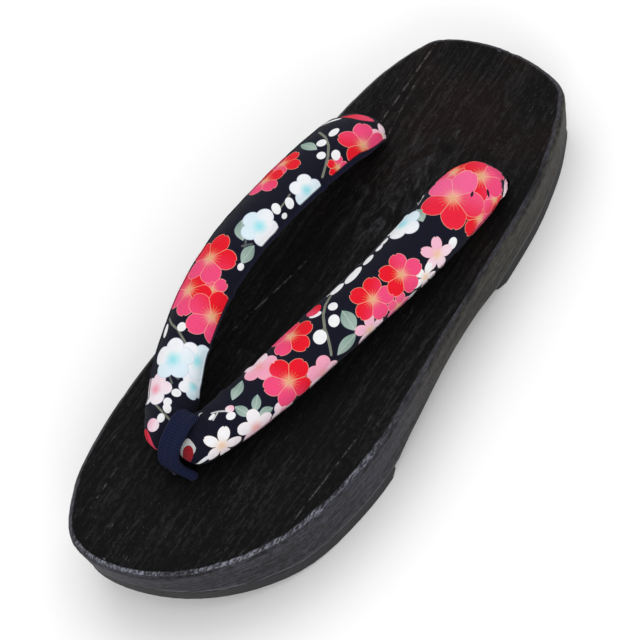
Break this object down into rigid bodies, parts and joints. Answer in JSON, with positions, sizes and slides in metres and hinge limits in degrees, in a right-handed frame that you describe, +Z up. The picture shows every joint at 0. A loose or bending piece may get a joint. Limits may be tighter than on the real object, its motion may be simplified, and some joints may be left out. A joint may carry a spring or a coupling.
{
  "type": "geta sandal",
  "caption": "Left geta sandal: low foot-shaped wooden base on rubber soles, with a padded V strap and a cord toe loop.",
  "frame": {"origin": "on the ground, below the middle of the sandal's bounding box", "axes": "+X towards the toe, +Y towards the wearer's left, which is this shoe's outer side, +Z up"},
  "size_m": [0.24, 0.0917, 0.0514],
  "materials": {
    "baked_wood": "black baked and brushed light wood, satin on the edges and matt in the grain",
    "sole_rubber": "matt black rubber",
    "strap_cloth": "padded navy cotton crepe with a common blossom print, plain navy lining",
    "loop_cord": "navy ribbed knitted cord"
  },
  "bodies": {
    "root": {"base": "baked_wood", "front_sole": "sole_rubber", "heel_sole": "sole_rubber", "strap": "strap_cloth", "toe_loop": "loop_cord"}
  },
  "joints": []
}
